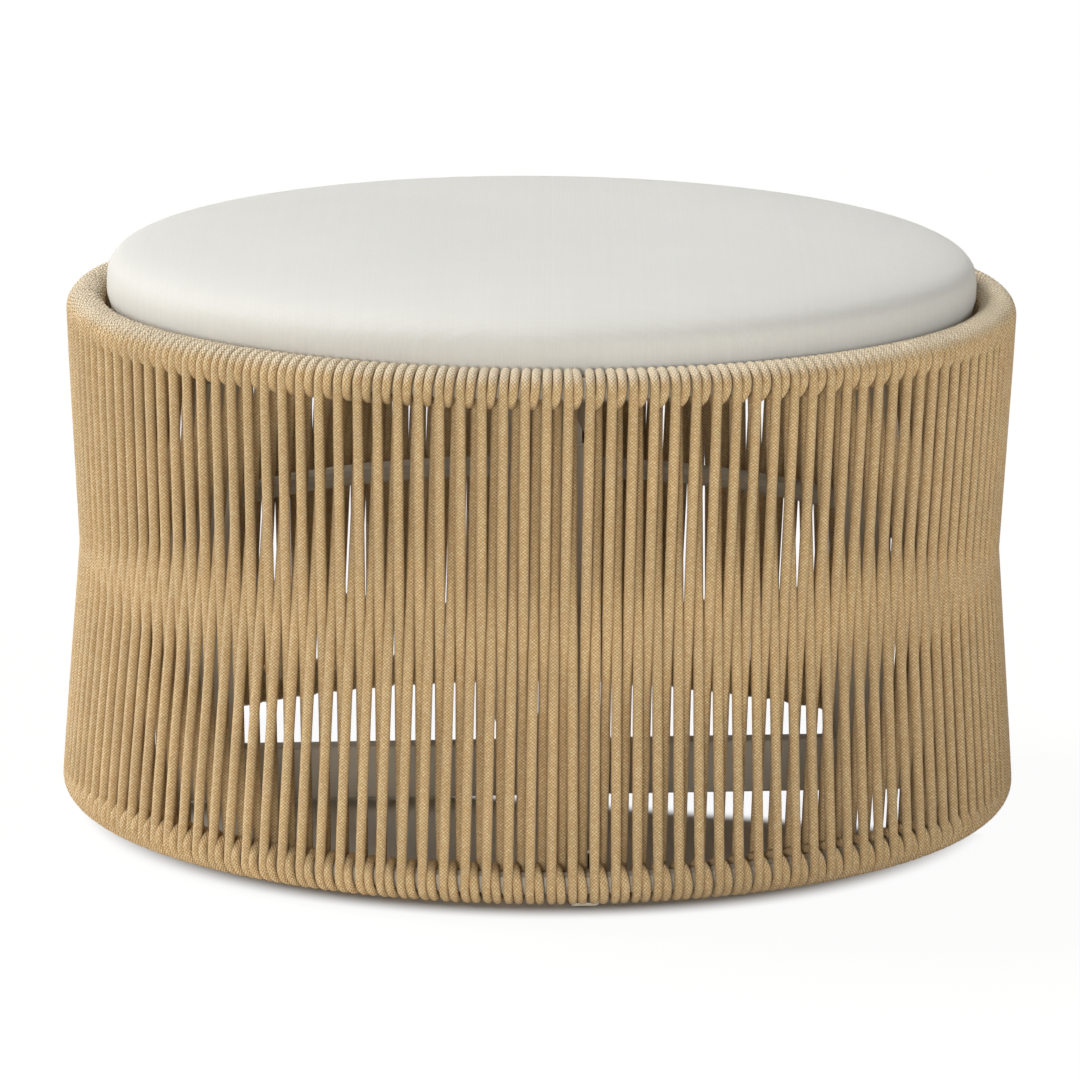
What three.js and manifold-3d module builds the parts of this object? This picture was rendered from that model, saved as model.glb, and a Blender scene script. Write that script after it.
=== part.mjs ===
// Round outdoor ottoman: rope laced in two crossing layers between a top and a bottom ring,
// a welded frame of box profile inside, a slatted deck and a loose cushion.
// Millimetres, Z up, the origin on the floor under the middle of the drum, the front towards -Y.
import * as THREE from "three";
import { mergeVertices } from "three/addons/utils/BufferGeometryUtils.js";
import Module from "manifold-3d";

const wasm = await Module();
wasm.setup();

// Driving dimensions of the drum
const drumTopDiameter = 700;
const drumBottomDiameter = 709;
const ringSpacing = 351;
const ringTubeDiameter = 16;
const ropeDiameter = 6.5;
const ropeGap = 0.5;
const waistGap = 1;
const wrapRibDepth = 1;
const panelCount = 8;

// Frame of box profile
const frameTurnDegrees = 6;
const profileDepth = 40;
const profileWidth = 20;
const profileCorner = 2.5;
const profileWall = 2;
const tongueThickness = 4;
const tongueDepth = 20;
const tongueRoot = 25;

// Hoop round the posts, set in from the smaller ring
const hoopInset = 63.5;
const hoopTubeDiameter = 16;

// Slatted deck, inside the top ring's wraps
const deckGap = 11;
const deckDrop = 10;
const deckThickness = 4;
const deckHoopWidth = 30;
const slatCount = 7;
const slatWidth = 40;

// Glides under the base rails
const glideDiameter = 18;
const glideHeight = 5;
const glideChamfer = 1;
const glideInset = 40;

// Cushion, inside the top ring's wraps
const cushionGap = 0.5;
const cushionRise = 66;
const cushionBulgeRise = 20;
const cushionShoulderPower = 4.4;
const cushionCrownPower = 2.9;
const cushionUnderPower = 4.4;

// Gap that neighbours keep, and what a cut runs past its piece
const fit = 0.3;
const overrun = 2;

// Facets
const sectionSides = 8;
const boreStepsPerPanel = 5;
const hoopSides = 10;
const hoopSteps = 48;
const deckSteps = 48;
const roundSteps = 24;
const cornerSteps = 2;
const cushionSteps = 48;
const cushionRows = 9;

// Directions on a wrapped ring's section, in degrees from straight out
const shoulderTurn = 5;
const crownTurn = 55;

const { degToRad } = THREE.MathUtils;
const halfTurn = Math.PI;
const fullTurn = 2 * Math.PI;
const tubeRadius = ringTubeDiameter / 2;
const wrapRadius = tubeRadius + ropeDiameter;
const boreRadius = tubeRadius + fit / Math.cos(halfTurn / sectionSides);

// Heights, from the floor up
const baseRailBottom = glideHeight + fit;
const bottomPlane = baseRailBottom + profileDepth / 2;
const topPlane = bottomPlane + ringSpacing;
const waistPlane = (bottomPlane + topPlane) / 2;
const deckTop = topPlane - deckDrop;
const deckBottom = deckTop - deckThickness;
const seatRailTop = deckBottom - fit;
const seatRailMiddle = seatRailTop - profileDepth / 2;

// The strands leave each ring on the side that faces the other ring, so side is -1 at the top.
const topRing = { radius: drumTopDiameter / 2 - wrapRadius, height: topPlane, side: -1 };
const bottomRing = { radius: drumBottomDiameter / 2 - wrapRadius, height: bottomPlane, side: 1 };
const mouthRadius = topRing.radius - wrapRadius;
const deckHoopOutside = mouthRadius - deckGap;
const deckHoopInside = deckHoopOutside - deckHoopWidth;

const ropeLook = { color: 0xcdb287, roughness: 0.9, metalness: 0 };
const metalLook = { color: 0x8f8577, roughness: 0.5, metalness: 0.3 };
const fabricLook = { color: 0xe6e5df, roughness: 0.95, metalness: 0 };
const plasticLook = { color: 0x2a2a2b, roughness: 0.6, metalness: 0 };

function named(name, geometry, look) {
  const mesh = new THREE.Mesh(geometry, new THREE.MeshStandardMaterial(look));
  mesh.name = name;
  return mesh;
}

// A closed geometry as a solid that can be joined and cut.
function solidOf(geometry) {
  const bare = new THREE.BufferGeometry();
  bare.setAttribute("position", geometry.getAttribute("position"));
  bare.setIndex(geometry.index);
  const merged = mergeVertices(bare);
  return new wasm.Manifold(
    new wasm.Mesh({
      numProp: 3,
      vertProperties: merged.getAttribute("position").array,
      triVerts: new Uint32Array(merged.index.array),
    }),
  );
}

function geometryOf(solid) {
  const { numProp, vertProperties, triVerts } = solid.getMesh();
  const places = new THREE.InterleavedBuffer(vertProperties, numProp);
  const geometry = new THREE.BufferGeometry();
  geometry.setAttribute("position", new THREE.InterleavedBufferAttribute(places, 3, 0));
  geometry.setIndex(new THREE.BufferAttribute(triVerts, 1));
  const plain = geometry.toNonIndexed();
  plain.computeVertexNormals();
  return plain;
}

// Rope panels

// Rows of points and the faces between them, for one closed surface of revolution about Z.
class Skin {
  constructor() {
    this.places = [];
    this.faces = [];
  }

  point(angle, radius, height) {
    this.places.push(radius * Math.sin(angle), -radius * Math.cos(angle), height);
    return this.places.length / 3 - 1;
  }

  triangle(a, b, c, flipped) {
    this.faces.push(...(flipped ? [a, c, b] : [a, b, c]));
  }

  quad(a, b, c, d, flipped) {
    this.triangle(a, b, c, flipped);
    this.triangle(a, c, d, flipped);
  }

  geometry() {
    const geometry = new THREE.BufferGeometry();
    geometry.setAttribute("position", new THREE.Float32BufferAttribute(this.places, 3));
    geometry.setIndex(this.faces);
    geometry.computeVertexNormals();
    return geometry;
  }
}

// The wrapped section of a ring: two corners where the outer strands leave, two round the far side,
// and two where the inner strands leave. A strand's facet spans one rope diameter from the wrap's edge.
const outerFacet = 0;
const innerFacet = 4;

function sectionTurns(ring) {
  const corner = Math.acos((wrapRadius - ropeDiameter) / wrapRadius);
  const shoulder = degToRad(shoulderTurn);
  const crown = degToRad(crownTurn);
  const turns = [-corner, -shoulder, crown, halfTurn - crown, halfTurn + shoulder, halfTurn + corner];
  return turns.map((turn) => -ring.side * turn);
}

// Every other slot edge is a rib of the wrap and the one after it a groove.
function wrapRows(skin, ring, slotEdges) {
  const turns = sectionTurns(ring);
  return slotEdges.map((angle, edge) => {
    const radius = wrapRadius - (edge % 2) * wrapRibDepth;
    return turns.map((turn) =>
      skin.point(angle, ring.radius + radius * Math.cos(turn), ring.height + radius * Math.sin(turn)),
    );
  });
}

// The bore follows the straight runs of the ring tube inside it.
function boreRows(skin, ring, start, end, panelStart) {
  const step = fullTurn / (panelCount * boreStepsPerPanel);
  const angles = [start];
  for (let i = 1; i < boreStepsPerPanel; i++) angles.push(panelStart + i * step);
  angles.push(end);
  return angles.map((angle) => {
    const along = (angle - panelStart) % step;
    const runRadius = (ring.radius * Math.cos(step / 2)) / Math.cos(along - step / 2);
    const row = [];
    for (let i = 0; i < sectionSides; i++) {
      const turn = (i * fullTurn) / sectionSides;
      row.push(skin.point(angle, runRadius + boreRadius * Math.cos(turn), ring.height + boreRadius * Math.sin(turn)));
    }
    return row;
  });
}

function sweep(skin, rows, flipped, isOpen) {
  for (let k = 0; k + 1 < rows.length; k++) {
    const count = rows[k].length;
    for (let i = 0; i < count; i++) {
      const next = (i + 1) % count;
      if (!isOpen(k, i)) skin.quad(rows[k][i], rows[k + 1][i], rows[k + 1][next], rows[k][next], flipped);
    }
  }
}

// The flat end of a wrap, between its outline and its bore.
function closeEnd(skin, outline, bore, flipped) {
  const flat = (index) => {
    const [x, y, z] = skin.places.slice(3 * index, 3 * index + 3);
    return new THREE.Vector2(Math.hypot(x, y), z);
  };
  const corners = [...outline, ...bore];
  for (const [a, b, c] of THREE.ShapeUtils.triangulateShape(outline.map(flat), [bore.map(flat)]))
    skin.triangle(corners[a], corners[b], corners[c], flipped);
}

function wrapShell(skin, ring, slotEdges, panelStart, leavesOutside) {
  const rows = wrapRows(skin, ring, slotEdges);
  const bores = boreRows(skin, ring, slotEdges[0], slotEdges.at(-1), panelStart);
  const flipped = ring.side > 0;
  sweep(skin, rows, flipped, (slot, facet) => facet === (leavesOutside(slot) ? outerFacet : innerFacet));
  sweep(skin, bores, true, () => false);
  closeEnd(skin, rows[0], bores[0], false);
  closeEnd(skin, rows.at(-1), bores.at(-1), true);
  return rows;
}

// The four corners that a strand has on a ring: out and in, at the two edges of its slot.
function strandCorners(rows, slot, outside) {
  const [out, into] = outside ? [1, 0] : [5, 4];
  return [rows[slot][out], rows[slot + 1][out], rows[slot + 1][into], rows[slot][into]];
}

// At the waist the two layers stand side by side on one circle, evenly spread over the panel.
function waistCorners(skin, panelStart, slot) {
  const radius = (topRing.radius + bottomRing.radius) / 2;
  const pitch = panelAngle / slotsPerPanel;
  const trim = waistGap / 2 / radius;
  const start = panelStart + slot * pitch;
  const end = start + pitch;
  const out = radius + ropeDiameter / 2;
  const into = radius - ropeDiameter / 2;
  return [
    skin.point(start + trim, out, waistPlane),
    skin.point(end - trim, out, waistPlane),
    skin.point(end - trim, into, waistPlane),
    skin.point(start + trim, into, waistPlane),
  ];
}

function strand(skin, levels) {
  for (let level = 0; level + 1 < levels.length; level++) {
    const lower = levels[level];
    const upper = levels[level + 1];
    for (let i = 0; i < lower.length; i++) {
      const next = (i + 1) % lower.length;
      skin.quad(lower[i], lower[next], upper[next], upper[i], false);
    }
  }
}

// Every other panel edge has a rail's tongue beside it, and the rest meet the next panel.
const tongueSeat = (tongueThickness / 2 + fit) / mouthRadius;
const panelSeam = fit / 2 / mouthRadius;
const panelAngle = fullTurn / panelCount;
const panelSpan = panelAngle - tongueSeat - panelSeam;
const slotsPerPanel = Math.floor((panelSpan * topRing.radius) / (ropeDiameter + ropeGap));

// One eighth of the drum: a slot holds one strand, outside at the top in even slots of the whole drum
// and inside at the top in odd ones. Each strand changes layer at the waist.
function ropePanel(index) {
  const skin = new Skin();
  const panelStart = index * panelAngle;
  const start = panelStart + (index % 2 ? panelSeam : tongueSeat);
  const slotEdges = [];
  for (let edge = 0; edge <= slotsPerPanel; edge++) slotEdges.push(start + (edge * panelSpan) / slotsPerPanel);
  const outsideAtTop = (slot) => (index * slotsPerPanel + slot) % 2 === 0;
  const outsideAtBottom = (slot) => !outsideAtTop(slot);
  const topRows = wrapShell(skin, topRing, slotEdges, panelStart, outsideAtTop);
  const bottomRows = wrapShell(skin, bottomRing, slotEdges, panelStart, outsideAtBottom);
  for (let slot = 0; slot < slotsPerPanel; slot++)
    strand(skin, [
      strandCorners(bottomRows, slot, outsideAtBottom(slot)),
      waistCorners(skin, panelStart, slot),
      strandCorners(topRows, slot, outsideAtTop(slot)),
    ]);
  return named("rope_panel_" + (index + 1), skin.geometry(), ropeLook);
}

// Frame

function ringTorus(ring, radius) {
  const torus = new THREE.TorusGeometry(ring.radius, radius, sectionSides, panelCount * boreStepsPerPanel);
  torus.translate(0, 0, ring.height);
  return torus;
}

function ringTube(name, ring) {
  return named(name, ringTorus(ring, tubeRadius), metalLook);
}

// The box profile's outline, with rounded corners and a square bore.
function profileShape(width, depth) {
  const x = width / 2;
  const y = depth / 2;
  const r = profileCorner;
  const shape = new THREE.Shape();
  shape.moveTo(x, r - y);
  shape.absarc(x - r, y - r, r, 0, halfTurn / 2);
  shape.absarc(r - x, y - r, r, halfTurn / 2, halfTurn);
  shape.absarc(r - x, r - y, r, halfTurn, halfTurn + halfTurn / 2);
  shape.absarc(x - r, r - y, r, halfTurn + halfTurn / 2, fullTurn);
  const boreX = x - profileWall;
  const boreY = y - profileWall;
  const bore = [
    new THREE.Vector2(boreX, boreY),
    new THREE.Vector2(-boreX, boreY),
    new THREE.Vector2(-boreX, -boreY),
    new THREE.Vector2(boreX, -boreY),
  ];
  shape.holes.push(new THREE.Path(bore));
  return shape;
}

function profileTube(width, depth, length) {
  const options = { depth: length, bevelEnabled: false, curveSegments: cornerSteps };
  return new THREE.ExtrudeGeometry(profileShape(width, depth), options);
}

// A length of profile along X, upright, from x = start to x = end.
function profileAlongX(start, end, middle) {
  const bar = profileTube(profileWidth, profileDepth, end - start);
  bar.rotateX(halfTurn / 2);
  bar.rotateZ(halfTurn / 2);
  bar.translate(start, 0, middle);
  return bar;
}

// A plate of the given outline in X and Z, upright on the X axis.
function tongue(outline) {
  const shape = new THREE.Shape(outline.map(([x, z]) => new THREE.Vector2(x, z)));
  const plate = new THREE.ExtrudeGeometry(shape, { depth: tongueThickness, bevelEnabled: false });
  plate.translate(0, 0, -tongueThickness / 2);
  plate.rotateX(halfTurn / 2);
  return plate;
}

const hoopRadius = Math.min(topRing.radius, bottomRing.radius) - hoopInset;
const hoopTubeRadius = hoopTubeDiameter / 2;
const postOutside = (hoopRadius - hoopTubeRadius) * Math.cos(halfTurn / hoopSteps) - fit;

// The rails of a level, and the outline of the plate set into a rail's open end. The plate's root spans
// the rail's height, and its nose passes between two panels and grips the ring tube. Base rails reach the
// wraps. Seat rails end at the posts, and their plate runs on under the deck hoop and rises behind the wraps.
const rootReach = profileDepth / 2 - profileWall / 2;
const baseEnd = bottomRing.radius - wrapRadius - fit;
const baseRootEnd = baseEnd - profileWall;
const baseLevel = {
  ring: bottomRing,
  end: baseEnd,
  middle: bottomPlane,
  tongue: [
    [baseRootEnd - tongueRoot, bottomPlane - rootReach],
    [baseRootEnd, bottomPlane - rootReach],
    [baseRootEnd, bottomPlane - tubeRadius],
    [bottomRing.radius, bottomPlane - tubeRadius],
    [bottomRing.radius, bottomPlane + tubeRadius],
    [baseRootEnd, bottomPlane + tubeRadius],
    [baseRootEnd, bottomPlane + rootReach],
    [baseRootEnd - tongueRoot, bottomPlane + rootReach],
  ],
};
const seatRootEnd = postOutside - profileWall;
const seatTongueNose = mouthRadius - fit;
const seatTongueStep = deckHoopOutside + fit;
const seatTongueTop = seatRailTop - profileWall / 2;
const seatLevel = {
  ring: topRing,
  end: postOutside,
  middle: seatRailMiddle,
  tongue: [
    [seatRootEnd - tongueRoot, seatRailMiddle - rootReach],
    [seatRootEnd, seatRailMiddle - rootReach],
    [seatRootEnd, seatTongueTop - tongueDepth],
    [seatTongueNose, seatTongueTop - tongueDepth],
    [seatTongueNose, topPlane - wrapRadius],
    [topRing.radius, topPlane - tubeRadius],
    [topRing.radius, topPlane],
    [seatTongueStep, topPlane],
    [seatTongueStep, seatTongueTop],
    [seatRootEnd - tongueRoot, seatTongueTop],
  ],
};

// A rail along X to its ring on the +X side, and to both sides where start is null.
function rail(name, level, start) {
  const plate = solidOf(tongue(level.tongue));
  let solid = solidOf(profileAlongX(start ?? -level.end, level.end, level.middle)).add(plate);
  if (start === null) solid = solid.add(plate.rotate([0, 0, 180]));
  const seat = solidOf(ringTorus(level.ring, boreRadius));
  return named(name, geometryOf(solid.subtract(seat)), metalLook);
}

function turned(mesh, angle) {
  mesh.rotation.z = angle;
  return mesh;
}

// Two rails cross at each level: a whole one, and two halves that butt against its sides.
function crossedRails(prefix, level, heading) {
  const start = profileWidth / 2 + fit;
  return [
    turned(rail(prefix + "_long", level, null), heading),
    turned(rail(prefix + "_half_1", level, start), heading + halfTurn / 2),
    turned(rail(prefix + "_half_2", level, start), heading - halfTurn / 2),
  ];
}

// A post stands inside the hoop, its broad faces along the rails.
function post(name, angle) {
  const bottom = bottomPlane + profileDepth / 2 + fit;
  const top = seatRailMiddle - profileDepth / 2 - fit;
  const bar = profileTube(profileDepth, profileWidth, top - bottom);
  bar.translate(postOutside - profileDepth / 2, 0, bottom);
  return turned(named(name, bar, metalLook), angle);
}

function stretcherHoop() {
  const torus = new THREE.TorusGeometry(hoopRadius, hoopTubeRadius, hoopSides, hoopSteps);
  torus.translate(0, 0, waistPlane);
  return named("stretcher_hoop", torus, metalLook);
}

// Deck

function ringPoint(radius, height) {
  return new THREE.Vector2(radius, height);
}

function upright(lathe) {
  lathe.rotateX(halfTurn / 2);
  return lathe;
}

function deckHoop() {
  const profile = [
    ringPoint(deckHoopInside, deckBottom),
    ringPoint(deckHoopOutside, deckBottom),
    ringPoint(deckHoopOutside, deckTop),
    ringPoint(deckHoopInside, deckTop),
    ringPoint(deckHoopInside, deckBottom),
  ];
  return named("deck_hoop", upright(new THREE.LatheGeometry(profile, deckSteps)), metalLook);
}

// A slat runs from side to side of the deck hoop, its ends cut to the hoop's curve.
function slat(index) {
  const reach = deckHoopInside * Math.cos(halfTurn / deckSteps) - fit;
  const pitch = (2 * deckHoopInside) / slatCount;
  const offset = (index - (slatCount - 1) / 2) * pitch;
  const bar = new THREE.BoxGeometry(slatWidth, 2 * deckHoopInside, deckThickness);
  bar.translate(offset, 0, deckTop - deckThickness / 2);
  const disc = new THREE.CylinderGeometry(reach, reach, deckThickness + 2 * overrun, deckSteps);
  disc.rotateX(halfTurn / 2);
  disc.translate(0, 0, deckTop - deckThickness / 2);
  const cut = solidOf(bar).intersect(solidOf(disc));
  return named("deck_slat_" + (index + 1), geometryOf(cut), metalLook);
}

// Glides

function glide(name, angle) {
  const radius = glideDiameter / 2;
  const profile = [
    ringPoint(0, 0),
    ringPoint(radius - glideChamfer, 0),
    ringPoint(radius, glideChamfer),
    ringPoint(radius, glideHeight),
    ringPoint(0, glideHeight),
  ];
  const pad = upright(new THREE.LatheGeometry(profile, roundSteps));
  pad.translate(bottomRing.radius - glideInset, 0, 0);
  return turned(named(name, pad, plasticLook), angle);
}

// Cushion

// A quarter of a superellipse from the bulge, where share is 0, to the axis, where share is 1.
function cushionPoint(share, height, power) {
  const angle = (share * halfTurn) / 2;
  const across = Math.cos(angle) ** (2 / cushionShoulderPower);
  const along = Math.sin(angle) ** (2 / power);
  return ringPoint((mouthRadius - cushionGap) * across, topPlane + cushionBulgeRise + height * along);
}

function cushion() {
  const crownHeight = cushionRise - cushionBulgeRise;
  const underHeight = deckTop + fit - topPlane - cushionBulgeRise;
  const profile = [ringPoint(0, topPlane + cushionBulgeRise + underHeight)];
  for (let row = cushionRows - 1; row > 0; row--)
    profile.push(cushionPoint(row / cushionRows, underHeight, cushionUnderPower));
  for (let row = 0; row < cushionRows; row++)
    profile.push(cushionPoint(row / cushionRows, crownHeight, cushionCrownPower));
  profile.push(ringPoint(0, topPlane + cushionRise));
  return named("cushion", upright(new THREE.LatheGeometry(profile, cushionSteps)), fabricLook);
}

// Assembly: the frame, the deck and the rope stand turned about Z, as in the photograph.
const frame = new THREE.Group();
frame.rotation.z = degToRad(frameTurnDegrees);
frame.add(ringTube("top_ring_tube", topRing), ringTube("bottom_ring_tube", bottomRing));
frame.add(...crossedRails("base_rail", baseLevel, halfTurn / 2));
frame.add(...crossedRails("seat_rail", seatLevel, 0));
for (let quarter = 0; quarter < 4; quarter++) {
  const angle = (quarter * halfTurn) / 2;
  frame.add(post("post_" + (quarter + 1), angle), glide("glide_" + (quarter + 1), angle));
}
frame.add(stretcherHoop(), deckHoop());
for (let index = 0; index < slatCount; index++) frame.add(slat(index));
for (let index = 0; index < panelCount; index++) frame.add(ropePanel(index));

const ottoman = new THREE.Group();
ottoman.add(frame, cushion());

export default ottoman;
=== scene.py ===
import math
import random

import bmesh
import bpy
from mathutils import Matrix, Vector


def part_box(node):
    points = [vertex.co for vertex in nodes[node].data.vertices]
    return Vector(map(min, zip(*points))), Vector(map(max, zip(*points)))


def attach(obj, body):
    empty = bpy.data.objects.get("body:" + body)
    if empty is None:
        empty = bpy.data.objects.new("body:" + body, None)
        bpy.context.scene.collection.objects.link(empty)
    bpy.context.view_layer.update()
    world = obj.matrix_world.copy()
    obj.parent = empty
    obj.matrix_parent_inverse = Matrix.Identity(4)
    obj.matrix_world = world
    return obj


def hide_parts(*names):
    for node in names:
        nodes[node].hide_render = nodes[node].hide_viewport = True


# Outdoor ottoman footstool: rope laced over two rings, a taupe metal frame inside,
# a loose round cushion on top. Metres, +Z up, -Y towards the camera.

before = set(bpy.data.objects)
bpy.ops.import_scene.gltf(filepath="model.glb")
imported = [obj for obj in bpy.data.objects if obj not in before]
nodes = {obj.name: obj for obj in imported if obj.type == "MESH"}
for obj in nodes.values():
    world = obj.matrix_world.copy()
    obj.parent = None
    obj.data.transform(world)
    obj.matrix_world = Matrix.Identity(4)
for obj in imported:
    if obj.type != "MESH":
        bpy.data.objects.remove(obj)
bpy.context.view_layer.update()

# Camera, fitted to the rings, the hoop and the rails of the photo. The lens is in millimetres and
# the turns are in degrees.
LENS = 219.27
SENSOR_WIDTH = 36
CAMERA_PLACE = (0.00043, -4.789, 1.2158)
CAMERA_DOWN = 11.988
CAMERA_ROLL = 0.504

# Lamps: name, direction towards the lamp, strength, spread in degrees.
LAMPS = (
    ("key_lamp", (-0.57, 0.28, 0.78), 3.0, 24),
    ("front_lamp", (-0.12, -0.97, 0.12), 1.18, 12),
    ("left_lamp", (-0.80, -0.55, 0.20), 0.35, 20),
    ("side_lamp", (0.85, -0.45, 0.25), 0.70, 30))
ROOM_LIGHT = (0.96, 0.98, 1, 1)
ROOM_STRENGTH = 0.13

# Floor: plain lit paper under the drum's front half. Round the drum and under its rear half the camera sees
# mostly a painted white glow, which covers the paper's shading, the drum's shadow included.
# OUTSIDE is measured from the middle and REAR along REARWARDS. Between start and end the two blend.
FLOOR_REACH = 40
WHITE = (1, 1, 1, 1)
PAPER = (0.86, 0.80, 0.70, 1)
OUTSIDE_START, OUTSIDE_END = 0.305, 0.345
REARWARDS = (0.3, 1, 0)
REAR_START, REAR_END = -0.02, 0.01
WHITE_SHARE = 0.94
WHITE_GLOW = 1.02

# Lacing: one braided rope that goes down outside to inside, round the bottom ring, up outside to inside
# and round the top ring, one pitch on for each turn of the loop. It is drawn in four quarters, the first from
# FIRST_CYCLE on, counted from the front. The rings' middle lines have their true sizes here, because the
# frame's tubes are faceted and measure slightly less.
PITCH_COUNT = 148
PITCH = 2 * math.pi / PITCH_COUNT
QUARTERS = 4
PER_QUARTER = PITCH_COUNT // QUARTERS
FIRST_CYCLE = 3
TOP_RING_RADIUS = 0.3355
BOTTOM_RING_RADIUS = 0.340
BOTTOM_RING_HEIGHT = 0.0253
TOP_RING_HEIGHT = 0.3763
RING_DROP = TOP_RING_HEIGHT - BOTTOM_RING_HEIGHT

# Rope: its thickness, its path's distance from the ring tube's middle line, how thin it is drawn on the
# rings and how near to them, and the steps of its path in degrees round a ring and in points of a strand.
ROPE_DIAMETER = 0.0073
ROPE_BEVEL_STEPS = 3
WRAP_REACH = 0.01125
WRAP_GIRTH = 0.92
WRAP_ZONE = 1.2 * WRAP_REACH
WRAP_STEP = 15
STRAND_STEPS = 10

# Places round the ring, in pitches, where the rope passes the inner and the outer side of each ring, and how
# far the strand beside each post steps aside.
TOP_START, TOP_LEAVES = 0.36, 0.285
BOTTOM_PASSES = (0.245, 0.14, -0.18, -0.33)
TOP_PASSES = (-0.17, -0.235, TOP_START - 1)
POST_SIDESTEP = 0.30

# Unevenness of the lacing, in pitches: how far a strand may bow to the side, and how far the rope has crept
# along each ring, as shares of its place to the side, that place's square and cube, and its place behind.
# The steps in the rope's path are evened out some times over.
BOW = 0.035
BOW_SEED = 40
TOP_CREEP = (0.39, 0.40, 0.21, 0.2)
BOTTOM_CREEP = (0.34, -0.27, 0.92, 0.9)
BEHIND_POWER = 3
SMOOTHINGS = 6

# The rope's colour is painted paler on the crest of the top ring, a painted highlight, from and to these
# heights.
CREST_START = TOP_RING_HEIGHT + 0.003
CREST_END = TOP_RING_HEIGHT + 0.012

# Cushion: a round stuffed pad, crowned on top and flat where it lies on the deck. BULGE is the height of its
# widest line and RISE the room left over its crown for the stuffing. A higher power makes a squarer corner.
CUSHION_BULGE = TOP_RING_HEIGHT + 0.0225
CUSHION_RISE = 0.004
UNDERSIDE_POWERS = (6, 6)
CROWN_POWERS = (4.4, 2.9)
CUSHION_ROWS = 36
CUSHION_SPOKES = 180
CUSHION_MERGE = 0.0001
CUSHION_VOXEL = 0.0055

# Stuffing: the height up to which the cover is pinned, how firmly it is held above that and at the crown,
# and how far a point may move.
CUSHION_BASE = 0.012
EDGE_HOLD, CROWN_HOLD = 0.9, 0.02
CUSHION_CAP = 0.006
STUFFING_FRAMES = 20


# Objects and meshes

def add_object(name, data):
    made = bpy.data.objects.new(name, data)
    bpy.context.collection.objects.link(made)
    return made


def finished_mesh(piece):
    """A mesh of the piece with its modifiers or its curve's thickness worked in."""
    ready = piece.evaluated_get(bpy.context.evaluated_depsgraph_get())
    return bpy.data.meshes.new_from_object(ready)


def apply_modifiers(piece):
    """Puts the piece's modifiers into its mesh."""
    mesh = finished_mesh(piece)
    old = piece.data
    mesh.name = old.name
    piece.modifiers.clear()
    piece.data = mesh
    bpy.data.meshes.remove(old)


def coat(mesh, finish):
    mesh.materials.clear()
    mesh.materials.append(finish)


def shade_smooth(mesh):
    mesh.polygons.foreach_set("use_smooth", [True] * len(mesh.polygons))


# Nodes

def place(tree, kind, **settings):
    made = tree.nodes.new(kind)
    for name, value in settings.items():
        setattr(made, name, value)
    return made


def join(tree, source, output, target, socket):
    tree.links.new(source.outputs[output], target.inputs[socket])


def calculate(tree, operation, first, second=None, third=None):
    """A Math node's result. Each input is a socket or a plain number."""
    sum_node = place(tree, "ShaderNodeMath", operation=operation)
    for slot, value in enumerate((first, second, third)):
        if value is None:
            continue
        if isinstance(value, (int, float)):
            sum_node.inputs[slot].default_value = value
        else:
            tree.links.new(value, sum_node.inputs[slot])
    return sum_node.outputs[0]


def between(tree, tone, start, end):
    """A value that goes from start to end as the tone goes from 0 to 1."""
    return calculate(tree, "MULTIPLY_ADD", tone, end - start, start)


def blend_range(tree, value, start, end):
    """0 below start, 1 above end, smooth between."""
    ramp = place(tree, "ShaderNodeMapRange", interpolation_type="SMOOTHSTEP")
    ramp.inputs["From Min"].default_value = start
    ramp.inputs["From Max"].default_value = end
    tree.links.new(value, ramp.inputs["Value"])
    return ramp.outputs["Result"]


def blend_values(tree, factor, first, second):
    """The first socket's value where factor is 0, the second's where it is 1."""
    mixer = place(tree, "ShaderNodeMix", data_type="FLOAT")
    for slot, value in ((0, factor), (2, first), (3, second)):
        tree.links.new(value, mixer.inputs[slot])
    return mixer.outputs[0]


def blend_colours(tree, factor, first, second):
    """A Mix node's colour between two plain colours or sockets."""
    mixer = place(tree, "ShaderNodeMix", data_type="RGBA")
    tree.links.new(factor, mixer.inputs[0])
    for slot, value in ((6, first), (7, second)):
        if isinstance(value, tuple):
            mixer.inputs[slot].default_value = (*value, 1)
        else:
            tree.links.new(value, mixer.inputs[slot])
    return mixer.outputs[2]


def vary_brightness(tree, colour, tone, darkest, brightest):
    """The colour, darker and brighter as the tone goes from 0 to 1."""
    varied = place(tree, "ShaderNodeHueSaturation")
    tree.links.new(colour, varied.inputs["Color"])
    tree.links.new(between(tree, tone, darkest, brightest), varied.inputs["Value"])
    return varied.outputs[0]


def blend_shaders(tree, factor, first, second, result):
    """The first shader where factor is 0 and the second where it is 1, as the result's surface."""
    either = place(tree, "ShaderNodeMixShader")
    tree.links.new(factor, either.inputs[0])
    join(tree, first, 0, either, 1)
    join(tree, second, 0, either, 2)
    join(tree, either, 0, result, "Surface")


def object_place(tree):
    """Where a point is on the object, as a vector socket."""
    return place(tree, "ShaderNodeTexCoord").outputs["Object"]


def split(tree, vector):
    """The outputs X, Y and Z of a vector socket."""
    parts = place(tree, "ShaderNodeSeparateXYZ")
    tree.links.new(vector, parts.inputs[0])
    return parts.outputs


def new_group(name, inputs, outputs):
    """A node group of number sockets. Returns its tree, the sockets it is given and those of its result."""
    group = bpy.data.node_groups.new(name, "ShaderNodeTree")
    for socket, value in inputs.items():
        made = group.interface.new_socket(name=socket, in_out="INPUT", socket_type="NodeSocketFloat")
        made.default_value = value
    for socket in outputs:
        group.interface.new_socket(name=socket, in_out="OUTPUT", socket_type="NodeSocketFloat")
    return group, group.nodes.new("NodeGroupInput").outputs, group.nodes.new("NodeGroupOutput").inputs


def use_group(tree, group, **values):
    made = place(tree, "ShaderNodeGroup", node_tree=group)
    for socket, value in values.items():
        made.inputs[socket].default_value = value
    return made


def new_material(name):
    finish = bpy.data.materials.new(name)
    finish.use_nodes = True
    tree = finish.node_tree
    return finish, tree, tree.nodes["Principled BSDF"]


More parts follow.
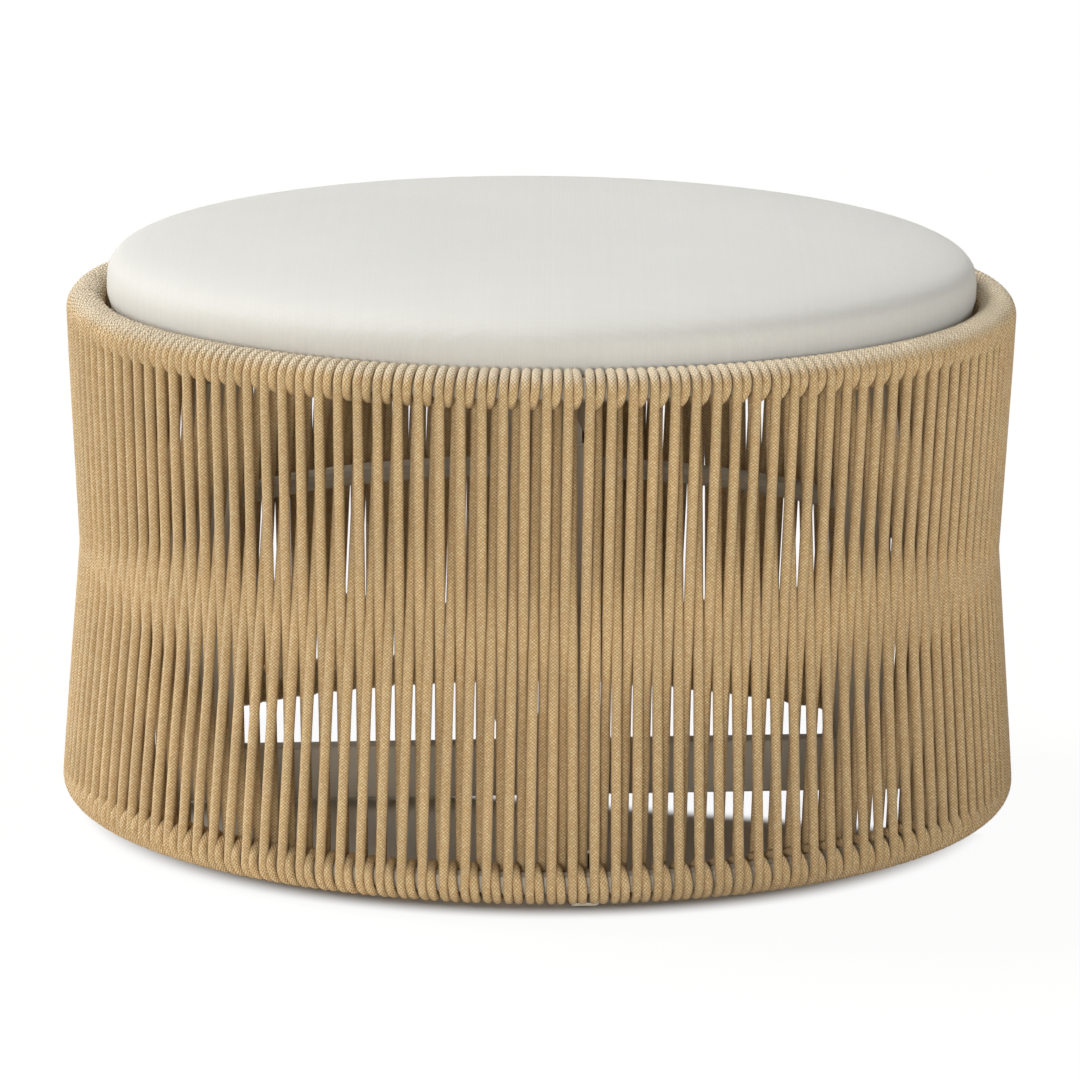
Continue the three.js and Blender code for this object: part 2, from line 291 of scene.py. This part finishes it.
def add_relief(tree, surface, height, strength, depth):
    """Bump from a height socket."""
    relief = place(tree, "ShaderNodeBump")
    relief.inputs["Strength"].default_value = strength
    relief.inputs["Distance"].default_value = depth
    tree.links.new(height, relief.inputs["Height"])
    join(tree, relief, 0, surface, "Normal")


# Scene

def make_camera():
    lens = bpy.data.cameras.new("camera")
    lens.lens = LENS
    lens.sensor_width = SENSOR_WIDTH
    eye = add_object("camera", lens)
    stand = Matrix.Translation(CAMERA_PLACE)
    down = Matrix.Rotation(math.radians(90 - CAMERA_DOWN), 4, "X")
    roll = Matrix.Rotation(math.radians(CAMERA_ROLL), 4, "Z")
    eye.matrix_world = stand @ down @ roll
    bpy.context.scene.camera = eye


def make_sun(name, towards, strength, spread):
    lamp = bpy.data.lights.new(name, "SUN")
    lamp.energy = strength
    lamp.angle = math.radians(spread)
    sun = add_object(name, lamp)
    sun.rotation_euler = Vector(towards).to_track_quat("Z", "Y").to_euler()


def make_world():
    """Soft light from all round, with a white room in view and in reflections."""
    world = bpy.data.worlds.new("studio")
    bpy.context.scene.world = world
    world.use_nodes = True
    tree = world.node_tree
    tree.nodes.clear()
    soft = place(tree, "ShaderNodeBackground")
    soft.inputs["Color"].default_value = ROOM_LIGHT
    soft.inputs["Strength"].default_value = ROOM_STRENGTH
    white = place(tree, "ShaderNodeBackground")
    white.inputs["Color"].default_value = WHITE
    ray = place(tree, "ShaderNodeLightPath").outputs
    seen = calculate(tree, "MAXIMUM", ray["Is Camera Ray"], ray["Is Glossy Ray"])
    blend_shaders(tree, seen, soft, white, place(tree, "ShaderNodeOutputWorld"))


def make_floor():
    mesh = bpy.data.meshes.new("studio_floor")
    shape = bmesh.new()
    bmesh.ops.create_grid(shape, x_segments=1, y_segments=1, size=FLOOR_REACH)
    shape.to_mesh(mesh)
    shape.free()
    mesh.materials.append(floor_paper())
    ground = add_object("studio_floor", mesh)


def floor_paper():
    paper, tree, sheet = new_material("paper_with_painted_glow")
    sheet.inputs["Base Color"].default_value = PAPER
    sheet.inputs["Roughness"].default_value = 0.9
    sheet.inputs["Specular IOR Level"].default_value = 0.1
    # Painted light: a white glow that only the camera sees, laid over the floor round the drum and under its
    # rear half.
    glow = place(tree, "ShaderNodeEmission")
    glow.inputs["Color"].default_value = WHITE
    glow.inputs["Strength"].default_value = WHITE_GLOW
    spot = object_place(tree)
    reach = place(tree, "ShaderNodeVectorMath", operation="LENGTH")
    tree.links.new(spot, reach.inputs[0])
    rearwards = place(tree, "ShaderNodeVectorMath", operation="DOT_PRODUCT")
    rearwards.inputs[1].default_value = REARWARDS
    tree.links.new(spot, rearwards.inputs[0])
    outside = blend_range(tree, reach.outputs["Value"], OUTSIDE_START, OUTSIDE_END)
    rear = blend_range(tree, rearwards.outputs["Value"], REAR_START, REAR_END)
    lit = calculate(tree, "MULTIPLY", calculate(tree, "MAXIMUM", outside, rear), WHITE_SHARE)
    ray = place(tree, "ShaderNodeLightPath").outputs
    seen = calculate(tree, "MULTIPLY", ray["Is Camera Ray"], lit)
    blend_shaders(tree, seen, sheet, glow, tree.nodes["Material Output"])
    return paper


# Shared effects

def arch(tree, value):
    """Up from 0 to 1 and down again over each whole number of the value."""
    return calculate(tree, "SINE", calculate(tree, "MULTIPLY", calculate(tree, "FRACT", value), math.pi))


def which_is_over(tree, first_cell, second_cell):
    """0 where the first thread passes over the second, 1 where it passes under."""
    return calculate(tree, "FLOORED_MODULO", calculate(tree, "ADD", first_cell, second_cell), 2)


def thread_tone(tree, cell):
    """A tone of its own for each thread."""
    tone = place(tree, "ShaderNodeTexWhiteNoise", noise_dimensions="1D")
    tree.links.new(cell, tone.inputs["W"])
    return tone.outputs["Value"]


def make_braid_group():
    """A round braid: plaits run both ways round the rope and pass over and under one another."""
    group, given, result = new_group(
        "round_braid", {"Around": 0, "Along": 0, "Plaits": 6, "Lay": 0.003}, ("Height", "Plait tone"))
    fullness = 0.6
    dip = 0.5
    turns = calculate(group, "MULTIPLY", given["Around"], given["Plaits"])
    lays = calculate(group, "DIVIDE", given["Along"], given["Lay"])
    right = calculate(group, "ADD", turns, lays)
    left = calculate(group, "SUBTRACT", turns, lays)
    right_cell = calculate(group, "FLOOR", right)
    left_cell = calculate(group, "FLOOR", left)
    right_arch = arch(group, right)
    left_arch = arch(group, left)
    right_plait = calculate(group, "MULTIPLY", calculate(group, "POWER", right_arch, fullness),
                            between(group, left_arch, dip, 1))
    left_plait = calculate(group, "MULTIPLY", calculate(group, "POWER", left_arch, fullness),
                           between(group, right_arch, dip, 1))
    over = which_is_over(group, right_cell, left_cell)
    group.links.new(blend_values(group, over, right_plait, left_plait), result["Height"])
    cell = place(group, "ShaderNodeCombineXYZ")
    group.links.new(right_cell, cell.inputs["X"])
    group.links.new(left_cell, cell.inputs["Y"])
    tone = place(group, "ShaderNodeTexWhiteNoise", noise_dimensions="2D")
    join(group, cell, 0, tone, "Vector")
    group.links.new(tone.outputs["Value"], result["Plait tone"])
    return group


def make_weave_group():
    """A plain weave of two threads over a flat pair of coordinates."""
    group, given, result = new_group(
        "plain_weave", {"Across": 0, "Along": 0, "Thread": 0.001}, ("Height", "Thread tone"))
    dip = 0.4
    across = calculate(group, "DIVIDE", given["Across"], given["Thread"])
    along = calculate(group, "DIVIDE", given["Along"], given["Thread"])
    warp_cell = calculate(group, "FLOOR", across)
    weft_cell = calculate(group, "FLOOR", along)
    warp_arch = arch(group, across)
    weft_arch = arch(group, along)
    warp = calculate(group, "MULTIPLY", warp_arch, between(group, weft_arch, dip, 1))
    weft = calculate(group, "MULTIPLY", weft_arch, between(group, warp_arch, dip, 1))
    over = which_is_over(group, warp_cell, weft_cell)
    tone = blend_values(group, over, thread_tone(group, warp_cell), thread_tone(group, weft_cell))
    group.links.new(blend_values(group, over, warp, weft), result["Height"])
    group.links.new(tone, result["Thread tone"])
    return group


def make_mottle_group():
    """Slow and fine unevenness of a surface, from Object coordinates."""
    group, given, result = new_group("mottle", {"Slow": 12, "Fine": 900}, ("Slow tone", "Fine tone"))
    spot = object_place(group)
    for scale, detail in (("Slow", 3), ("Fine", 2)):
        noise = place(group, "ShaderNodeTexNoise")
        noise.inputs["Detail"].default_value = detail
        group.links.new(spot, noise.inputs["Vector"])
        group.links.new(given[scale], noise.inputs["Scale"])
        group.links.new(noise.outputs[0], result[f"{scale} tone"])
    return group


# Finishes

def rope_finish(braid, mottle):
    """Tan braid, with painted shade (a darker colour) in its grooves and a painted highlight (a paler colour)
    on the crest of the top ring.
    """
    finish, tree, surface = new_material("braided_rope")
    groove_shade = (0.30, 0.160, 0.055)
    yarn = (0.84, 0.555, 0.255)
    pale = (0.99, 0.760, 0.420)
    painted_crest_highlight = (1.0, 0.900, 0.700)
    groove_steepness, groove_softness = 1.6, 0.3
    crest_highlight_share, crest_shade = 0.65, 0.6
    fuzz_dark, fuzz_light = -0.33, 0.17
    fuzz_relief = 0.25
    plait = use_group(tree, braid, Plaits=8, Lay=0.0024)
    run = split(tree, place(tree, "ShaderNodeUVMap", uv_map="rope_run").outputs[0])
    tree.links.new(run["X"], plait.inputs["Along"])
    tree.links.new(run["Y"], plait.inputs["Around"])
    uneven = use_group(tree, mottle, Slow=22, Fine=1500)
    height = plait.outputs["Height"]
    fuzz = uneven.outputs["Fine tone"]

    # Painted highlight: on the crest of the top ring the colour turns paler, by height alone, and the painted
    # shade of the grooves is lifted there.
    crest = blend_range(tree, split(tree, object_place(tree))["Z"], CREST_START, CREST_END)
    fresh = blend_colours(tree, plait.outputs["Plait tone"], yarn, pale)
    crest_highlighted = blend_colours(tree, calculate(tree, "MULTIPLY", crest, crest_highlight_share), fresh, painted_crest_highlight)
    # Painted shade: where the braid lies low, between the plaits, the colour goes towards the dark colour of
    # the grooves. The fine noise added to it is random tone.
    fuzz_shade = between(tree, fuzz, fuzz_dark, fuzz_light)
    raised = calculate(tree, "MULTIPLY_ADD", height, groove_steepness, fuzz_shade)
    shade = calculate(tree, "SMOOTH_MIN", raised, 1, groove_softness)
    shade = calculate(tree, "MAXIMUM", shade, calculate(tree, "MULTIPLY", crest, crest_shade))
    colour = blend_colours(tree, shade, groove_shade, crest_highlighted)
    colour = vary_brightness(tree, colour, uneven.outputs["Slow tone"], 0.85, 1.15)
    tree.links.new(colour, surface.inputs["Base Color"])

    tree.links.new(between(tree, height, 0.66, 0.44), surface.inputs["Roughness"])
    surface.inputs["Sheen Weight"].default_value = 0.1
    surface.inputs["Sheen Roughness"].default_value = 0.3
    surface.inputs["Specular IOR Level"].default_value = 0.6
    fuzzy_height = calculate(tree, "MULTIPLY_ADD", fuzz, fuzz_relief, height)
    add_relief(tree, surface, fuzzy_height, strength=1, depth=0.0012)
    return finish


def cushion_finish(weave, mottle):
    """Off-white cloth in a fine plain weave."""
    finish, tree, surface = new_material("cushion_cloth")
    thread = (0.690, 0.680, 0.636)
    bright = (0.712, 0.704, 0.668)
    fuzz_relief = 0.5
    cloth = use_group(tree, weave, Thread=0.0012)
    spot = split(tree, object_place(tree))
    tree.links.new(spot["X"], cloth.inputs["Across"])
    tree.links.new(spot["Y"], cloth.inputs["Along"])
    uneven = use_group(tree, mottle, Slow=9, Fine=700)
    fuzz = uneven.outputs["Fine tone"]

    colour = blend_colours(tree, cloth.outputs["Thread tone"], thread, bright)
    colour = vary_brightness(tree, colour, uneven.outputs["Slow tone"], 0.97, 1.03)
    tree.links.new(colour, surface.inputs["Base Color"])

    tree.links.new(between(tree, fuzz, 0.80, 0.92), surface.inputs["Roughness"])
    surface.inputs["Sheen Weight"].default_value = 0.2
    surface.inputs["Sheen Roughness"].default_value = 0.5
    surface.inputs["Specular IOR Level"].default_value = 0.25
    fuzzy_height = calculate(tree, "MULTIPLY_ADD", fuzz, fuzz_relief, cloth.outputs["Height"])
    add_relief(tree, surface, fuzzy_height, strength=0.35, depth=0.0003)
    return finish


def metal_finish(mottle):
    """Taupe powder coat with a fine grain."""
    finish, tree, surface = new_material("taupe_powder_coat")
    deep = (0.600, 0.525, 0.410)
    light = (0.680, 0.605, 0.485)
    uneven = use_group(tree, mottle, Slow=7, Fine=1400)
    grain = uneven.outputs["Fine tone"]
    colour = blend_colours(tree, uneven.outputs["Slow tone"], deep, light)
    tree.links.new(colour, surface.inputs["Base Color"])
    tree.links.new(between(tree, grain, 0.36, 0.54), surface.inputs["Roughness"])
    add_relief(tree, surface, grain, strength=0.25, depth=0.0002)
    return finish


def glide_finish(mottle):
    """Black plastic, slightly dusty."""
    finish, tree, surface = new_material("black_glide_plastic")
    deep = (0.014, 0.014, 0.015)
    dusty = (0.040, 0.038, 0.036)
    uneven = use_group(tree, mottle, Slow=60, Fine=2600)
    grain = uneven.outputs["Fine tone"]
    colour = blend_colours(tree, uneven.outputs["Slow tone"], deep, dusty)
    tree.links.new(colour, surface.inputs["Base Color"])
    tree.links.new(between(tree, grain, 0.5, 0.7), surface.inputs["Roughness"])
    add_relief(tree, surface, grain, strength=0.2, depth=0.0002)
    return finish


# Frame

def coat_frame(powder_coat, glide_plastic):
    """Gives the pieces that are shown as they are in the frame their finishes."""
    for name, node in nodes.items():
        if name.startswith("rope_panel") or name == "cushion":
            continue
        coat(node.data, glide_plastic if name.startswith("glide") else powder_coat)


# Rope

def ring_point(ring_radius, ring_height, pitches, degrees):
    """A place on a wrap: degrees 0 is the outer side of the ring, 90 its top."""
    turn = math.radians(degrees)
    return pitches, ring_radius + WRAP_REACH * math.cos(turn), ring_height + WRAP_REACH * math.sin(turn)


def wrap(ring_radius, ring_height, passes, start, end):
    """Points round a ring tube from start to end, in degrees, through evenly spaced passes."""
    steps = round(abs(end - start) / WRAP_STEP)
    points = []
    for step in range(steps + 1):
        share = step / steps * (len(passes) - 1)
        before = min(int(share), len(passes) - 2)
        pitches = passes[before] + (passes[before + 1] - passes[before]) * (share - before)
        points.append(ring_point(ring_radius, ring_height, pitches, start + (end - start) * step / steps))
    return points


def strand(start, end, bow):
    """Points between two wraps, without the ends, with a slight bow to the side."""
    points = []
    for step in range(1, STRAND_STEPS):
        share = step / STRAND_STEPS
        point = [a + (b - a) * share for a, b in zip(start, end)]
        point[0] += bow * math.sin(math.pi * share)
        points.append(tuple(point))
    return points


def drift(pitches, height):
    """How far the hand-laced rope has crept along the rings from its even spacing, in pitches."""
    side = math.sin(pitches * PITCH)
    behind = ((1 - math.cos(pitches * PITCH)) / 2) ** BEHIND_POWER
    terms = (side, side ** 2, side ** 3, behind)
    at_top = sum(creep * term for creep, term in zip(TOP_CREEP, terms))
    at_bottom = sum(creep * term for creep, term in zip(BOTTOM_CREEP, terms))
    down = (TOP_RING_HEIGHT - height) / RING_DROP
    return at_top + (at_bottom - at_top) * down


def lean(outer_radius, inner_radius):
    """The lean, in degrees, of a strand from one ring's outer side to the other ring's inner side."""
    return math.degrees(math.atan((outer_radius - inner_radius + 2 * WRAP_REACH) / RING_DROP))


def lacing_cycle(cycle, chance, sidestep):
    """One pitch of the lacing, from the top ring's inner side round to it again.

    Each point is (pitches, radius, height).
    """
    down_lean = lean(TOP_RING_RADIUS, BOTTOM_RING_RADIUS)
    up_lean = lean(BOTTOM_RING_RADIUS, TOP_RING_RADIUS)
    over_top = wrap(TOP_RING_RADIUS, TOP_RING_HEIGHT, (TOP_START, TOP_LEAVES), -180, -360 - down_lean)
    bottom = wrap(BOTTOM_RING_RADIUS, BOTTOM_RING_HEIGHT, BOTTOM_PASSES, 180 - down_lean, 720 + up_lean)
    rises, *crosses = TOP_PASSES
    top = wrap(TOP_RING_RADIUS, TOP_RING_HEIGHT, (rises - sidestep, *crosses), 180 + up_lean, -180)
    down = strand(over_top[-1], bottom[0], chance.uniform(-BOW, BOW))
    up = strand(bottom[-1], top[0], chance.uniform(-BOW, BOW))
    path = over_top + down + bottom + up + top
    return [(cycle + pitches + drift(cycle + pitches, height), radius, height)
            for pitches, radius, height in path]


def quarter_path(index):
    """The points of a quarter of the lacing, from a post on, where the strand steps aside."""
    chance = random.Random(BOW_SEED + index)
    last = FIRST_CYCLE + (index + 1) * PER_QUARTER - 1
    route = lacing_cycle(last, chance, POST_SIDESTEP)
    for cycle in range(last - 1, last - PER_QUARTER, -1):
        route += lacing_cycle(cycle, chance, 0)[1:]
    sides = [point[0] for point in route]
    for smoothing in range(SMOOTHINGS):
        inner = [(a + 2 * b + c) / 4 for a, b, c in zip(sides, sides[1:], sides[2:])]
        sides = [sides[0], *inner, sides[-1]]
    return [Vector((radius * math.sin(side * PITCH), -radius * math.cos(side * PITCH), height))
            for side, (_, radius, height) in zip(sides, route)]


def rope_mesh(name, points):
    """An unbroken round rope along the points, drawn thinner on the rings."""
    line = bpy.data.curves.new(name, "CURVE")
    line.dimensions = "3D"
    line.twist_mode = "MINIMUM"
    line.bevel_depth = ROPE_DIAMETER / 2
    line.bevel_resolution = ROPE_BEVEL_STEPS
    spline = line.splines.new("POLY")
    spline.points.add(len(points) - 1)
    for spot, point in zip(spline.points, points):
        spot.co = (*point, 1)
        from_ring = min(abs(point.z - TOP_RING_HEIGHT), abs(point.z - BOTTOM_RING_HEIGHT))
        spot.radius = WRAP_GIRTH if from_ring < WRAP_ZONE else 1
    guide = add_object(name + "_line", line)
    mesh = finished_mesh(guide)
    mesh.name = name
    bpy.data.objects.remove(guide)
    close_ends(mesh)
    measure_run(mesh, points)
    return mesh


def close_ends(mesh):
    shape = bmesh.new()
    shape.from_mesh(mesh)
    bmesh.ops.holes_fill(shape, edges=[edge for edge in shape.edges if edge.is_boundary], sides=0)
    bmesh.ops.recalc_face_normals(shape, faces=shape.faces[:])
    shape.to_mesh(mesh)
    shape.free()


def measure_run(mesh, points):
    """Writes the rope_run map: metres from the rope's start, and the turn round it from 0 to 1."""
    sides = len(mesh.vertices) // len(points)
    lengths = [0]
    for before, after in zip(points, points[1:]):
        lengths.append(lengths[-1] + (after - before).length)
    while mesh.uv_layers:
        mesh.uv_layers.remove(mesh.uv_layers[0])
    run = mesh.uv_layers.new(name="rope_run")
    for face in mesh.polygons:
        corners = [(loop, *divmod(mesh.loops[loop].vertex_index, sides)) for loop in face.loop_indices]
        turns = [turn for loop, ring, turn in corners]
        crosses = max(turns) - min(turns) > 1
        for loop, ring, turn in corners:
            around = sides if crosses and turn == 0 else turn
            run.data[loop].uv = (lengths[ring], around / sides)


def rope_quarter(index, finish):
    """A quarter of the lacing, in place of two of the frame's rope panels."""
    name = f"rope_quarter_{index + 1}"
    mesh = rope_mesh(name, quarter_path(index))
    coat(mesh, finish)
    shade_smooth(mesh)
    rope = add_object(name, mesh)
    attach(rope, "frame")
    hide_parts(f"rope_panel_{2 * index + 1}", f"rope_panel_{2 * index + 2}")


# Cushion

def pad_point(turn, radius, rise, powers):
    """A place on a squared quarter round: turn 0 is its widest line, a right angle its crown or underside."""
    out, up = powers
    return radius * max(math.cos(turn), 0) ** (2 / out), CUSHION_BULGE + rise * math.sin(turn) ** (2 / up)


def cushion_outline():
    """The cushion's half section from the middle of its underside to its crown, as (radius, height)."""
    low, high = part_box("cushion")
    radius = (high.x - low.x) / 2
    fall = low.z - CUSHION_BULGE
    rise = high.z - CUSHION_RISE - CUSHION_BULGE
    points = []
    for step in range(CUSHION_ROWS):
        turn = math.pi / 2 * (1 - step / CUSHION_ROWS)
        points.append(pad_point(turn, radius, fall, UNDERSIDE_POWERS))
    for step in range(CUSHION_ROWS + 1):
        turn = math.pi / 2 * step / CUSHION_ROWS
        points.append(pad_point(turn, radius, rise, CROWN_POWERS))
    return points


def cushion_cover():
    """The cover before it is stuffed: the half section, spun."""
    shape = bmesh.new()
    corners = [shape.verts.new((radius, 0, height)) for radius, height in cushion_outline()]
    for before, after in zip(corners, corners[1:]):
        shape.edges.new((before, after))
    bmesh.ops.spin(shape, geom=shape.verts[:] + shape.edges[:], cent=(0, 0, 0), axis=(0, 0, 1),
                   angle=2 * math.pi, steps=CUSHION_SPOKES, use_merge=True)
    bmesh.ops.remove_doubles(shape, verts=shape.verts[:], dist=CUSHION_MERGE)
    bmesh.ops.recalc_face_normals(shape, faces=shape.faces[:])
    mesh = bpy.data.meshes.new("seat_cushion")
    shape.to_mesh(mesh)
    shape.free()
    return mesh


def make_cushion(finish):
    cushion = add_object("seat_cushion", cushion_cover())
    remesh = cushion.modifiers.new("even_mesh", "REMESH")
    remesh.mode = "VOXEL"
    remesh.voxel_size = CUSHION_VOXEL
    even = cushion.modifiers.new("even_surface", "SMOOTH")
    even.factor = 0.5
    even.iterations = 4
    apply_modifiers(cushion)
    stuff(cushion)
    smoother = cushion.modifiers.new("smooth_cloth", "SUBSURF")
    smoother.levels = 1
    smoother.render_levels = 1
    apply_modifiers(cushion)
    shade_smooth(cushion.data)
    coat(cushion.data, finish)
    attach(cushion, "cushion")
    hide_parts("cushion")


def hold_cover(cushion):
    """A group that pins the underside and holds the side less the higher it is."""
    low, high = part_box("cushion")
    rise = high.z - low.z - CUSHION_BASE
    held = cushion.vertex_groups.new(name="held")
    for vertex in cushion.data.vertices:
        height = (vertex.co.z - low.z - CUSHION_BASE) / rise
        weight = 1 if height < 0 else max(EDGE_HOLD * (1 - height), CROWN_HOLD)
        held.add([vertex.index], weight, "REPLACE")
    return held


def stuff(cushion):
    """Swells the cover with a short cloth simulation, then holds every point near where it started."""
    start = [vertex.co.copy() for vertex in cushion.data.vertices]
    held = hold_cover(cushion)
    cover = cushion.modifiers.new("cover", "CLOTH")
    cloth = cover.settings
    cloth.quality = 5
    cloth.mass = 0.3
    cloth.tension_stiffness = 12
    cloth.compression_stiffness = 12
    cloth.bending_stiffness = 0.4
    cloth.use_pressure = True
    cloth.uniform_pressure_force = 4
    cloth.vertex_group_mass = held.name
    cloth.effector_weights.gravity = 0
    cover.point_cache.frame_start = 1
    cover.point_cache.frame_end = STUFFING_FRAMES
    for moment in range(1, STUFFING_FRAMES + 1):
        bpy.context.scene.frame_set(moment)
    apply_modifiers(cushion)
    bpy.context.scene.frame_set(1)
    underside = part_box("cushion")[0].z
    for vertex, before in zip(cushion.data.vertices, start):
        shift = vertex.co - before
        if shift.length > CUSHION_CAP:
            shift *= CUSHION_CAP / shift.length
        vertex.co = before + shift
        vertex.co.z = max(vertex.co.z, underside)


# Work

make_camera()
for lamp in LAMPS:
    make_sun(*lamp)
make_world()
make_floor()
mottle = make_mottle_group()
coat_frame(metal_finish(mottle), glide_finish(mottle))
braided_rope = rope_finish(make_braid_group(), mottle)
for index in range(QUARTERS):
    rope_quarter(index, braided_rope)
make_cushion(cushion_finish(make_weave_group(), mottle))
bpy.context.scene.view_settings.view_transform = "Standard"
